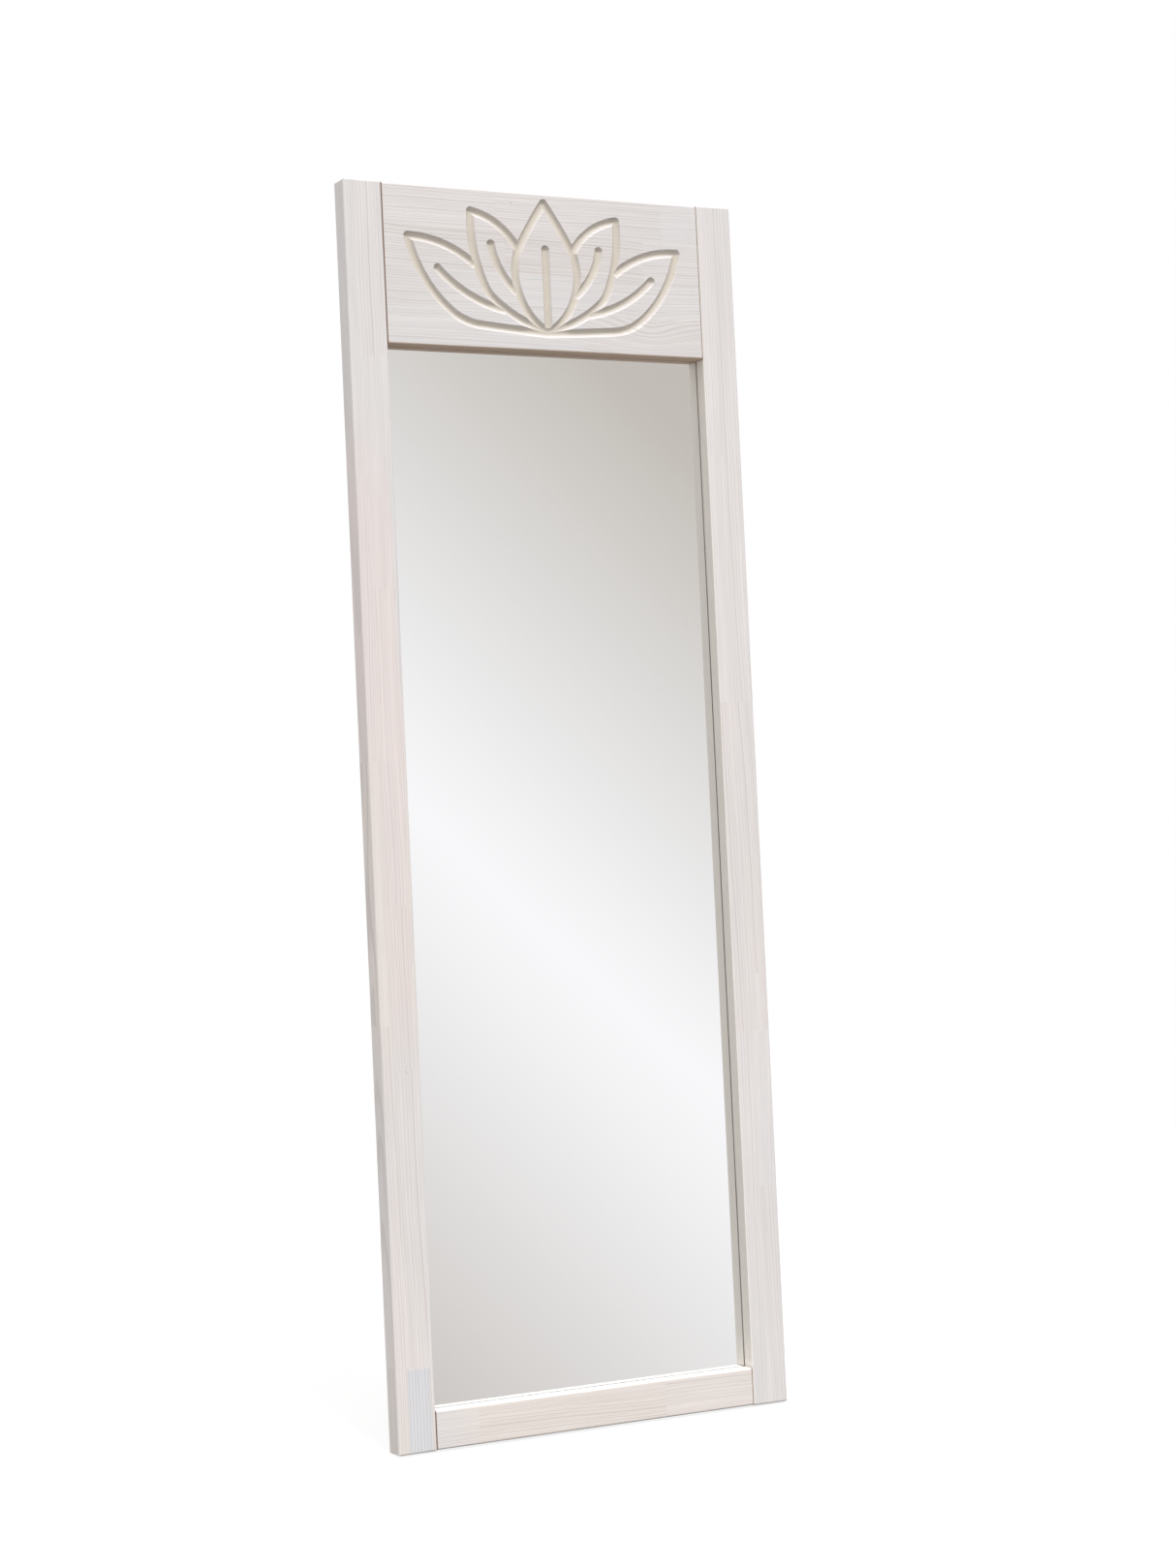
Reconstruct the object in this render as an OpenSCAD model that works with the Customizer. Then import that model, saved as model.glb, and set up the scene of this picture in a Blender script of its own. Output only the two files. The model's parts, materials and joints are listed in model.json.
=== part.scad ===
// Full-length dressing mirror in a solid pine frame, leaning back on a folding strut.
// Millimetres and degrees. +X is to the viewer's right, +Y to the back and +Z up. The origin is on
// the floor, in the middle of the footprint. Inside the leaning frame, panel coordinates are used:
// x across, w back from the face of the frame, and v up along the stiles from their lower ends.

/* [Frame] */
// Width over both stiles
frame_w = 600; // [480:10:760]
// Length of the stiles
frame_h = 1700; // [1400:10:2000]
// Thickness of the frame timber
frame_t = 32; // [28:1:42]
// How far the frame leans back from upright
lean = 5.75; // [4:0.25:8]
// Width of each stile
stile_w = 55; // [45:1:75]
// Height of the carved top rail
top_rail_h = 220; // [170:1:280]
// Height of the bottom rail
bottom_rail_h = 52; // [44:1:90]
// How far each rail stands back from the ends of the stiles
rail_setback = 1; // [0:0.5:4]
// Radius of the eased outer arrises
arris_r = 3; // [1:0.5:5]
// Radius of the small eased edges where rail and stile meet
joint_arris_r = 1.2; // [0.5:0.1:2]

/* [Glass and back] */
// Width of the rabbet that holds the glass
rabbet_w = 10; // [8:1:14]
// Depth of the rabbet from the back of the frame
rabbet_d = 12; // [9:1:16]
// Thickness of the mirror glass
pane_t = 4; // [3:1:5]
// Thickness of the back panel
back_t = 3; // [2:0.5:4]
// Room around the glass in the rabbet, on each edge
pane_gap = 2; // [1:0.5:3]
// Room around the back panel in the rabbet, on each edge
back_gap = 1; // [0.5:0.5:3]

/* [Lotus carving] */
// Radius of the round-nosed cutter
cutter_r = 7; // [4:0.5:8]
// Depth of the grooves
groove_d = 4; // [3:0.5:5]
// Timber left between the carving and each end of the rail
carving_side_room = 29.5; // [20:0.5:60]
// Timber left above the carving
carving_top_room = 6.5; // [6:0.5:30]
// Timber left under the carving
carving_foot_room = 18; // [12:1:50]

/* [Dowels] */
// Diameter of the dowels
dowel_d = 8; // [6:1:10]
// Length of the dowels
dowel_l = 40; // [30:2:44]
// Glue room around a dowel, on the radius
dowel_gap = 0.05; // [0.03:0.01:0.1]
// Glue room past the end of a dowel
dowel_end_gap = 1; // [0.5:0.5:3]

/* [Battens and strut] */
// Height of the hinge axis along the frame
hinge_v = 1100; // [900:10:1200]
// Thickness of battens, legs and crossbars
board_t = 18; // [16:1:24]
// Height of the hinge batten
hinge_batten_h = 70; // [60:2:90]
// Height of the stay batten
stay_batten_h = 45; // [36:1:60]
// How far the battens end inside the sides of the frame
batten_inset = 15; // [8:1:25]
// Distance between the middles of the legs
leg_pitch = 210; // [170:5:240]
// Width of each leg
leg_w = 36; // [30:1:45]
// Height of each crossbar
crossbar_h = 50; // [40:1:70]
// Opening angle of the strut against the frame
open_angle = 16; // [12:1:20]
// Radius of the eased edges of battens, legs and crossbars
board_r = 2; // [0.5:0.5:3]
// Thickness of the rubber foot pads
pad_t = 5; // [3:1:8]

/* [Hinges] */
// Length of each hinge along its axis
hinge_l = 34; // [30:1:44]
// Height of each hinge leaf
leaf_h = 30; // [24:1:40]
// Thickness of the hinge leaves
leaf_t = 1.5; // [1:0.1:2.5]
// Radius of the hinge knuckles
knuckle_r = 3.2; // [2.8:0.1:4]
// Radius of the hinge pins
pin_r = 1.5; // [1.2:0.1:2]
// Running clearance of pins, rivets and studs, on the radius
running_gap = 0.06; // [0.03:0.01:0.1]
// Gap between neighbouring knuckles
knuckle_gap = 0.3; // [0.2:0.1:0.5]

/* [Stays] */
// Length of each stay between its centres
stay_l = 300; // [220:10:340]
// Width of the stay bars
stay_w = 12; // [10:1:16]
// Thickness of stays and brackets
stay_t = 2; // [1.5:0.5:3]
// Radius of rivet and stud shanks
stud_r = 3; // [2.5:0.5:4]
// Thickness of the slide tracks
track_t = 1.5; // [1:0.5:2]
// Clear depth behind a slide track
track_h = 4; // [3.5:0.5:6]
// Room beside and beyond the stud in the slot
slot_gap = 0.2; // [0.1:0.1:0.5]

/* [Hidden] */
$fn = 48;

// Colours
whitewash = [0.88, 0.86, 0.83];
beech = [0.80, 0.66, 0.48];
silvered = [0.80, 0.85, 0.87];
fibreboard = [0.52, 0.39, 0.26];
zinc = [0.72, 0.73, 0.74];
rubber = [0.12, 0.12, 0.12];

// Frame openings and rails
half_w = frame_w / 2;
inner_x = half_w - stile_w;
top_rail_v0 = frame_h - rail_setback - top_rail_h;
top_rail_v1 = frame_h - rail_setback;
bottom_rail_v1 = rail_setback + bottom_rail_h;
opening_h = top_rail_v0 - bottom_rail_v1;
lip_t = frame_t - rabbet_d;

// Lotus carving, drawn at its natural size from the point where the petals meet
lotus_half_span = 209;
lotus_height = 182;
lotus_scale = min((inner_x - carving_side_room - cutter_r) / lotus_half_span,
    (top_rail_h - carving_top_room - carving_foot_room - 2 * cutter_r) / lotus_height);
lotus_v = top_rail_v0 + carving_foot_room + cutter_r;
tip_r = cutter_r + 0.15;
// Each groove of one half of the flower: start, a point on the way, end.
half_petals = [
    [[0, 182], [-26, 143], [-43, 113]],
    [[-43, 113], [-45, 58], [0, 1]],
    [[-113, 164], [-74, 149], [-43, 116]],
    [[-113, 164], [-109.5, 105], [-95.5, 62]],
    [[-95.5, 62], [-89.9, 52.5], [-82.4, 44.4]],
    [[-82.4, 44.4], [-42, 17.5], [0, 3]],
    [[-84, 120], [-71, 84], [-47, 56]],
    [[-209, 124], [-160, 117], [-111, 91]],
    [[-209, 124], [-186, 67], [-146, 23]],
    [[-146, 23], [-126, 12], [-102, 7]],
    [[-102, 7], [-52, 3], [0, 0]],
    [[-166, 82], [-126, 51], [-68, 29.5]],
];
middle_vein = [[0, 117], [0, 8]];

// Dowel rows
top_dowel_room = 30;
bottom_dowel_room = 11;
top_dowel_v = spread(top_rail_v0 + rabbet_w + top_dowel_room, top_rail_v1 - top_dowel_room, 3);
bottom_dowel_v = spread(rail_setback + bottom_dowel_room,
    bottom_rail_v1 - rabbet_w - bottom_dowel_room, 2);
crossbar_dowel_room = 12;

// Where the frame stands
lift = (frame_t - arris_r) * sin(lean);
board_w0 = frame_t;
board_w1 = frame_t + board_t;
knuckle_centre = 2 * leaf_t;
hinge_w = board_w1 + knuckle_centre;

// Strut, in strut coordinates: the hinge axis at 0, y back from it and z up along the folded frame
strut_y0 = -leaf_t;
strut_y1 = strut_y0 + board_t;
strut_top = knuckle_r + 0.8;
leg_in = leg_pitch / 2 - leg_w / 2;
leg_out = leg_pitch / 2 + leg_w / 2;
strut_angle = open_angle - lean;
hinge_y_rel = hinge_w * cos(lean) + hinge_v * sin(lean);
hinge_z = lift - hinge_w * sin(lean) + hinge_v * cos(lean);
strut_mid_y = (strut_y0 + strut_y1) / 2;
pad_z_in_strut = (pad_t - hinge_z - strut_mid_y * sin(strut_angle)) / cos(strut_angle);
pad_y_rel = hinge_y_rel + strut_mid_y * cos(strut_angle) - pad_z_in_strut * sin(strut_angle);
leg_cut_l = board_t / cos(strut_angle);
leg_l = -pad_z_in_strut + board_t;
crossbar_drop = 6;
crossbar_z = [-leaf_h - crossbar_drop - crossbar_h, 0.44 * pad_z_in_strut, 0.83 * pad_z_in_strut];
pad_inset = 1;

// Footprint, and the origin in its middle
front_rel = arris_r * (cos(lean) + sin(lean) - 1);
back_rel = pad_y_rel + leg_cut_l / 2;
front_y = -(front_rel + back_rel) / 2;

// Stay linkage: frame pivot, stud on the strut, and the hinge make a triangle with two equal sides,
// so the stay turns exactly twice as far as the strut while its stud slides along the track.
stay_y = strut_mid_y;
stay_dip = asin(stay_y / stay_l);
track_angle = stay_dip / 2;
stay_pivot_w = hinge_w + stay_y;
stay_pivot_v = hinge_v - stay_l * cos(stay_dip);
slide_open = 2 * stay_l * cos(open_angle - track_angle);
slide_folded = 2 * stay_l * cos(track_angle);
slot_r = stud_r + slot_gap;
track_wall = 6;
track_s0 = slide_open - slot_r - slot_gap - track_wall;
track_s1 = slide_folded + slot_r + slot_gap + track_wall;
track_foot = 16;
track_w = 14;
arm_x0 = leg_out + track_h + track_t + 0.5;
arm_x1 = arm_x0 + stay_t;
ear_x1 = arm_x0 - 0.3;
ear_x0 = ear_x1 - stay_t;
head_t = 1.5;
head_r = stud_r + 2;
inner_head_r = stud_r + 1.5;
ear_r = 8;
bracket_foot = 26;
bracket_h = 30;
plate_r = 3;

// Batten places
hinge_batten_v0 = hinge_v + 2;
stay_batten_v0 = stay_pivot_v - stay_batten_h / 2;

// Screws: head radius, shank radius and the room around a shank
screw_head_r = 3.6;
screw_r = 1.75;
screw_gap = 0.05;
recess_l = 4.2;
recess_w = 0.9;
recess_d = 1.6;
leaf_screw_l = 14;
batten_screw_l = 34;
clip_screw_l = 12;
bracket_screw_l = 14;
track_screw_l = 12;
leaf_screw_x = 10;
leaf_screw_z = 19;

// Back panel clips
clip_t = 1.2;
clip_w = 12;
clip_drop = rabbet_d - pane_t - back_t;
clip_foot = 14;
clip_toe = 8;
clip_side_gap = 1.5;
clip_screw_at = 7;
clip_pitch = 240;
hinge_batten_v1 = hinge_batten_v0 + hinge_batten_h;
stay_batten_v1 = stay_batten_v0 + stay_batten_h;
side_clip_v = concat(
    clip_row(bottom_rail_v1, stay_batten_v0),
    clip_row(stay_batten_v1, hinge_batten_v0),
    clip_row(hinge_batten_v1, top_rail_v0));
rail_clip_x = inner_x / 2;

// Evenly spread values from a to b
function spread(a, b, n) = [for (i = [0:n - 1]) a + (b - a) * i / (n - 1)];

// Places for the clips between two rails or battens, no closer together than their pitch
function clip_row(a, b) =
    let (n = floor((b - a) / clip_pitch)) n < 1 ? [] : [for (i = [1:n]) a + (b - a) * i / (n + 1)];

// Points of an arc about c, from angle a0 through sweep
function arc_points(c, r, a0, sweep, n) =
    [for (i = [0:n]) [c.x + r * cos(a0 + sweep * i / n), c.y + r * sin(a0 + sweep * i / n)]];

// Rectangle between two corners, with a radius for each corner in turn from lower left
function eased_rect(p, q, r) = concat(
    arc_points([p.x + r[0], p.y + r[0]], r[0], 180, 90, 5),
    arc_points([q.x - r[1], p.y + r[1]], r[1], 270, 90, 5),
    arc_points([q.x - r[2], q.y - r[2]], r[2], 0, 90, 5),
    arc_points([p.x + r[3], q.y - r[3]], r[3], 90, 90, 5));

// Strip with round ends, from the origin down to [0, -l]
function strip_points(l, r) = concat(
    arc_points([0, 0], r, 0, 180, 16),
    arc_points([0, -l], r, 180, 180, 16));

// Centre of the circle through three points
function centre_of(p, q, s) =
    let (d = 2 * (p.x * (q.y - s.y) + q.x * (s.y - p.y) + s.x * (p.y - q.y)),
        pp = p * p, qq = q * q, ss = s * s)
    [(pp * (q.y - s.y) + qq * (s.y - p.y) + ss * (p.y - q.y)) / d,
        (pp * (s.x - q.x) + qq * (p.x - s.x) + ss * (q.x - p.x)) / d];

function heading(c, p) = atan2(p.y - c.y, p.x - c.x);
function turn(a, b) = let (d = (b - a) % 360) d > 180 ? d - 360 : d < -180 ? d + 360 : d;

// Places a thing given in panel coordinates
module on_frame() {
    translate([0, front_y, lift]) rotate([-lean, 0, 0]) children();
}

// Places a thing given in strut coordinates, at the opened strut
module on_strut() {
    on_frame() translate([0, hinge_w, hinge_v]) rotate([open_angle, 0, 0]) children();
}

// Places a thing given along the slide track: z runs up the track from the hinge axis
module on_track() {
    on_strut() rotate([track_angle, 0, 0]) children();
}

// Places a thing given from the frame pivot of a stay, with z up along the stay
module on_stay() {
    on_frame() translate([0, stay_pivot_w, stay_pivot_v]) rotate([2 * open_angle, 0, 0]) children();
}

// The left-hand copy of a right-hand piece, or the piece itself
module handed(side) {
    if (side == "left") mirror([1, 0, 0]) children();
    else children();
}

// Both copies
module both_sides() {
    for (side = ["left", "right"]) handed(side) children();
}

// Extrudes a drawing of the x and v plane along w, from w0 to w1
module along_w(w0, w1) {
    translate([0, w1, 0]) rotate([90, 0, 0]) linear_extrude(w1 - w0) children();
}

// Extrudes a drawing of the w and v plane along x, from x0 to x1
module along_x(x0, x1) {
    translate([x0, 0, 0]) rotate([90, 0, 90]) linear_extrude(x1 - x0) children();
}

// Planed board between two corners. Each list gives four arris radii, seen along x and along v.
module board(p, q, seen_x, seen_v, seen_w = 0) {
    intersection() {
        along_x(p.x, q.x) polygon(eased_rect([p.y, p.z], [q.y, q.z], seen_x));
        translate([0, 0, p.z]) linear_extrude(q.z - p.z)
            polygon(eased_rect([p.x, p.y], [q.x, q.y], seen_v));
        if (seen_w > 0) {
            along_w(p.y, q.y)
                polygon(eased_rect([p.x, p.z], [q.x, q.z], [seen_w, seen_w, seen_w, seen_w]));
        } else {
            translate(p) cube(q - p);
        }
    }
}

// Countersunk cross-head screw: the head's face at z = 0, the point at z = -l
module screw(l) {
    head_h = screw_head_r - screw_r;
    point_h = 2.5;
    difference() {
        rotate_extrude()
            polygon([[0, 0], [screw_head_r, 0], [screw_head_r, -0.3], [screw_r, -0.3 - head_h],
                [screw_r, point_h - l], [0.3, -l], [0, -l]]);
        for (a = [0, 90]) rotate([0, 0, a]) translate([0, 0, 1 - recess_d / 2])
            cube([recess_l, recess_w, recess_d + 2], center = true);
    }
}

// Its hole, with room all round
module screw_hole(l) {
    g = screw_gap;
    head_h = screw_head_r - screw_r;
    rotate_extrude()
        polygon([[0, 1], [screw_head_r + g, 1], [screw_head_r + g, -0.3 - g],
            [screw_r + g, -0.3 - g - head_h], [screw_r + g, -l - 0.5], [0, -l - 0.5]]);
}

// Turns a thing that stands along z to point out of the back of the frame, or out to one side
module facing_back() {
    rotate([-90, 0, 0]) children();
}

module facing_right() {
    rotate([0, 90, 0]) children();
}

// Dowels that stand along x, centred on x
module dowels(x, w, rows, gap = 0) {
    for (v = rows) translate([x, w, v]) facing_right()
        cylinder(r = dowel_d / 2 + gap, h = dowel_l + (gap > 0 ? 2 * dowel_end_gap : 0), center = true);
}

module frame_dowels(gap = 0) {
    dowels(inner_x, lip_t / 2 + 2, top_dowel_v, gap);
    dowels(inner_x, lip_t / 2 + 2, bottom_dowel_v, gap);
}

// Where the screws stand, in panel coordinates; the child is a screw or its hole
module at_batten_screws() {
    for (v0 = [hinge_batten_v0, stay_batten_v0])
        for (v = v0 == hinge_batten_v0 ? [0.25, 0.75] * hinge_batten_h : [0.25, 0.75] * stay_batten_h)
            translate([half_w - stile_w / 2, board_w1, v0 + v]) facing_back() children();
}

module at_side_clips() {
    for (v = side_clip_v)
        translate([inner_x + rabbet_w, frame_t, v]) children();
}

module at_rail_clips() {
    translate([rail_clip_x, frame_t, top_rail_v0 + rabbet_w]) rotate([0, -90, 0]) children();
    translate([rail_clip_x, frame_t, bottom_rail_v1 - rabbet_w]) rotate([0, 90, 0]) children();
}

module at_clip_screw() {
    translate([clip_screw_at, clip_t, 0]) facing_back() children();
}

module at_leaf_screws(z) {
    for (x = [-1, 1] * leaf_screw_x) translate([leg_pitch / 2 + x, 0, z]) children();
}

module at_bracket_screws() {
    for (v = [-8, 8])
        translate([ear_x0 + bracket_foot - 10, board_w1 + stay_t, stay_pivot_v + v])
            facing_back() children();
}

module at_track_screws() {
    for (s = [track_s0 - track_foot / 2 - track_t / 2, track_s1 + track_foot / 2 + track_t / 2])
        translate([leg_out + track_t, 0, -s]) facing_right() children();
}

// Right-hand stile, with a stopped rabbet, dowel holes and screw holes
module stile() {
    r = arris_r;
    j = joint_arris_r;
    difference() {
        board([inner_x, 0, 0], [half_w, frame_t, frame_h], [r, r, r, r], [j, r, r, j], r);
        translate([inner_x - 1, lip_t, bottom_rail_v1 - rabbet_w])
            cube([rabbet_w + 1, rabbet_d + 1, opening_h + 2 * rabbet_w]);
        frame_dowels(dowel_gap);
        at_batten_screws() screw_hole(batten_screw_l);
        at_side_clips() at_clip_screw() screw_hole(clip_screw_l);
    }
}

module stile_left() {
    color(whitewash) on_frame() handed("left") stile();
}

module stile_right() {
    color(whitewash) on_frame() stile();
}

// Plain rail with its rabbet on the side of the glass
module rail(v0, v1, rabbet_v) {
    r = arris_r;
    j = joint_arris_r;
    difference() {
        board([-inner_x, 0, v0], [inner_x, frame_t, v1], [r, r, r, r], [j, j, j, j]);
        translate([-inner_x - 1, lip_t, rabbet_v]) cube([2 * inner_x + 2, rabbet_d + 1, rabbet_w + 1]);
        both_sides() frame_dowels(dowel_gap);
        both_sides() at_rail_clips() at_clip_screw() screw_hole(clip_screw_l);
    }
}

// One curved groove: the round nose of the cutter swept along the arc through three points
module arc_groove(p, q, s) {
    c = centre_of(p, q, s);
    a0 = heading(c, p);
    sweep = turn(a0, heading(c, q)) + turn(heading(c, q), heading(c, s));
    translate([c.x, c.y, 0]) rotate([0, 0, sweep > 0 ? a0 : a0 + sweep])
        rotate_extrude(angle = abs(sweep)) translate([norm(p - c), 0]) circle(r = cutter_r);
    for (end = [p, s]) translate([end.x, end.y, 0]) sphere(r = tip_r);
}

// The whole flower as a solid, in the plane of the rail's face
module lotus_cutters() {
    for (m = [0, 1]) mirror([m, 0, 0])
        for (g = half_petals)
            arc_groove(lotus_scale * g[0], lotus_scale * g[1], lotus_scale * g[2]);
    vein = lotus_scale * middle_vein;
    translate([0, vein[1].y, 0]) rotate([-90, 0, 0]) cylinder(r = cutter_r, h = vein[0].y - vein[1].y);
    translate([0, vein[0].y, 0]) sphere(r = tip_r);
}

module top_rail() {
    color(whitewash) on_frame() difference() {
        rail(top_rail_v0, top_rail_v1, top_rail_v0 - 1);
        translate([0, groove_d - cutter_r, lotus_v]) rotate([90, 0, 0]) lotus_cutters();
    }
}

module bottom_rail() {
    color(whitewash) on_frame() rail(rail_setback, bottom_rail_v1, bottom_rail_v1 - rabbet_w);
}

module rail_dowels() {
    color(beech) on_frame() both_sides() frame_dowels();
}

// Silvered glass, resting on the lip of the rabbet
module mirror_pane() {
    g = rabbet_w - pane_gap;
    color(silvered) on_frame() translate([-inner_x - g, lip_t, bottom_rail_v1 - g])
        cube([2 * (inner_x + g), pane_t, opening_h + 2 * g]);
}

// Hardboard that closes the back of the rabbet
module back_panel() {
    g = rabbet_w - back_gap;
    color(fibreboard) on_frame() translate([-inner_x - g, lip_t + pane_t, bottom_rail_v1 - g])
        cube([2 * (inner_x + g), back_t, opening_h + 2 * g]);
}

// Cranked clip: its foot lies on the frame and its toe holds the back panel down
module clip() {
    x0 = -clip_side_gap - clip_t;
    difference() {
        translate([0, 0, -clip_w / 2]) linear_extrude(clip_w)
            polygon([[x0 - clip_toe, -clip_drop], [x0 + clip_t, -clip_drop], [x0 + clip_t, 0],
                [clip_foot, 0], [clip_foot, clip_t], [x0, clip_t], [x0, clip_t - clip_drop],
                [x0 - clip_toe, clip_t - clip_drop]]);
        at_clip_screw() screw_hole(clip_screw_l);
    }
}

module panel_clips() {
    color(zinc) on_frame() both_sides() {
        at_side_clips() clip();
        at_rail_clips() clip();
    }
}

module clip_screws() {
    color(zinc) on_frame() both_sides() {
        at_side_clips() at_clip_screw() screw(clip_screw_l);
        at_rail_clips() at_clip_screw() screw(clip_screw_l);
    }
}

// Batten across the backs of both stiles
module batten(v0, h) {
    r = board_r;
    x = half_w - batten_inset;
    board([-x, board_w0, v0], [x, board_w1, v0 + h], [r, r, r, r], [r, r, r, r]);
}

module hinge_batten() {
    color(whitewash) on_frame() difference() {
        batten(hinge_batten_v0, hinge_batten_h);
        both_sides() at_batten_screws() screw_hole(batten_screw_l);
        both_sides() at_frame_leaf_screws() screw_hole(leaf_screw_l);
    }
}

module stay_batten() {
    color(whitewash) on_frame() difference() {
        batten(stay_batten_v0, stay_batten_h);
        both_sides() at_batten_screws() screw_hole(batten_screw_l);
        both_sides() at_bracket_screws() screw_hole(bracket_screw_l);
    }
}

module batten_screws() {
    color(zinc) on_frame() both_sides() at_batten_screws() screw(batten_screw_l);
}

module at_frame_leaf_screws() {
    at_leaf_screws(hinge_v + leaf_screw_z) translate([0, board_w1 + leaf_t, 0]) facing_back() children();
}

module at_strut_leaf_screws() {
    at_leaf_screws(-leaf_screw_z) translate([0, -knuckle_centre, 0]) rotate([90, 0, 0]) children();
}

// Right-hand hinge leaf about its own axis, going up from it. Its knuckles fill the stretches given.
module leaf(knuckles) {
    clear_r = knuckle_r + 0.5;
    difference() {
        union() {
            along_w(-knuckle_centre, -knuckle_centre + leaf_t)
                polygon(eased_rect([leg_pitch / 2 - hinge_l / 2, clear_r],
                    [leg_pitch / 2 + hinge_l / 2, leaf_h], [0.3, 0.3, plate_r, plate_r]));
            for (k = knuckles) {
                translate([leg_pitch / 2 + k[0], -knuckle_centre, 0])
                    cube([k[1] - k[0], leaf_t, clear_r + 1]);
                translate([leg_pitch / 2 + k[0], 0, 0]) facing_right()
                    cylinder(r = knuckle_r, h = k[1] - k[0]);
            }
        }
        translate([leg_pitch / 2 - hinge_l, 0, 0]) facing_right()
            cylinder(r = pin_r + running_gap, h = 2 * hinge_l);
    }
}

outer_knuckles = [[-hinge_l / 2, -hinge_l / 6], [hinge_l / 6, hinge_l / 2]];
middle_knuckle = [[knuckle_gap - hinge_l / 6, hinge_l / 6 - knuckle_gap]];

module frame_leaf() {
    difference() {
        translate([0, hinge_w, hinge_v]) leaf(outer_knuckles);
        at_frame_leaf_screws() screw_hole(leaf_screw_l);
    }
}

module frame_leaf_left() {
    color(zinc) on_frame() handed("left") frame_leaf();
}

module frame_leaf_right() {
    color(zinc) on_frame() frame_leaf();
}

module frame_leaf_screws() {
    color(zinc) on_frame() both_sides() at_frame_leaf_screws() screw(leaf_screw_l);
}

module hinge_pin() {
    translate([leg_pitch / 2, hinge_w, hinge_v]) facing_right() {
        cylinder(r = pin_r, h = hinge_l + 1, center = true);
        for (end = [-1, 1]) translate([0, 0, end * (hinge_l / 2 + 0.7)])
            cylinder(r = pin_r + 0.8, h = 1, center = true);
    }
}

module hinge_pin_left() {
    color(zinc) on_frame() handed("left") hinge_pin();
}

module hinge_pin_right() {
    color(zinc) on_frame() hinge_pin();
}

// Angle bracket on the stay batten: a foot with two screws and an ear that carries the stay's rivet
module stay_bracket() {
    difference() {
        union() {
            along_w(board_w1, board_w1 + stay_t)
                polygon(eased_rect([ear_x0, stay_pivot_v - bracket_h / 2],
                    [ear_x0 + bracket_foot, stay_pivot_v + bracket_h / 2],
                    [0.3, plate_r, plate_r, 0.3]));
            translate([0, stay_pivot_w, stay_pivot_v]) along_x(ear_x0, ear_x1)
                polygon(concat([[board_w1 - stay_pivot_w, ear_r + 4]],
                    [[board_w1 - stay_pivot_w, -ear_r - 4]],
                    arc_points([0, 0], ear_r, -90, 180, 16)));
        }
        translate([ear_x0 - 1, stay_pivot_w, stay_pivot_v]) facing_right()
            cylinder(r = stud_r + running_gap, h = stay_t + 2);
        at_bracket_screws() screw_hole(bracket_screw_l);
    }
}

module stay_bracket_left() {
    color(zinc) on_frame() handed("left") stay_bracket();
}

module stay_bracket_right() {
    color(zinc) on_frame() stay_bracket();
}

module bracket_screws() {
    color(zinc) on_frame() both_sides() at_bracket_screws() screw(bracket_screw_l);
}

// Rivet between x0 and x1, with a head beyond each end
module rivet(x0, x1, inner_gap, outer_gap) {
    translate([x0 - inner_gap - head_t, 0, 0]) facing_right() cylinder(r = inner_head_r, h = head_t);
    translate([x0 - inner_gap - head_t / 2, 0, 0]) facing_right()
        cylinder(r = stud_r, h = x1 - x0 + inner_gap + outer_gap + head_t);
    translate([x1 + outer_gap, 0, 0]) facing_right() cylinder(r = head_r, h = head_t);
}

module stay_rivet() {
    translate([0, stay_pivot_w, stay_pivot_v]) rivet(ear_x0, arm_x1, 0, 0.2);
}

module stay_rivet_left() {
    color(zinc) on_frame() handed("left") stay_rivet();
}

module stay_rivet_right() {
    color(zinc) on_frame() stay_rivet();
}

// Right-hand leg, with its lower end cut level to stand on the pad
module leg() {
    r = board_r;
    difference() {
        on_strut() difference() {
            board([leg_in, strut_y0, -leg_l], [leg_out, strut_y1, -strut_top],
                [r, r, r, r], [r, r, r, r]);
            crossbar_dowel_set(dowel_gap);
            at_strut_leaf_screws() screw_hole(leaf_screw_l);
            rotate([track_angle, 0, 0]) at_track_screws() screw_hole(track_screw_l);
        }
        translate([0, front_y + pad_y_rel - leg_l / 2, pad_t - leg_l]) cube([frame_w, leg_l, leg_l]);
    }
}

module leg_left() {
    color(whitewash) handed("left") leg();
}

module leg_right() {
    color(whitewash) leg();
}

module crossbar_dowel_set(gap = 0) {
    for (z = crossbar_z)
        dowels(leg_in, strut_mid_y,
            [z + crossbar_dowel_room, z + crossbar_h - crossbar_dowel_room], gap);
}

module crossbar(z) {
    r = board_r;
    j = joint_arris_r;
    color(whitewash) on_strut() difference() {
        board([-leg_in, strut_y0, z], [leg_in, strut_y1, z + crossbar_h], [r, r, r, r], [j, j, j, j]);
        both_sides() crossbar_dowel_set(dowel_gap);
    }
}

module top_crossbar() {
    crossbar(crossbar_z[0]);
}

module middle_crossbar() {
    crossbar(crossbar_z[1]);
}

module lower_crossbar() {
    crossbar(crossbar_z[2]);
}

module crossbar_dowels() {
    color(beech) on_strut() both_sides() crossbar_dowel_set();
}

module strut_leaf() {
    difference() {
        mirror([0, 0, 1]) leaf(middle_knuckle);
        at_strut_leaf_screws() screw_hole(leaf_screw_l);
    }
}

module strut_leaf_left() {
    color(zinc) on_strut() handed("left") strut_leaf();
}

module strut_leaf_right() {
    color(zinc) on_strut() strut_leaf();
}

module strut_leaf_screws() {
    color(zinc) on_strut() both_sides() at_strut_leaf_screws() screw(leaf_screw_l);
}

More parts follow.
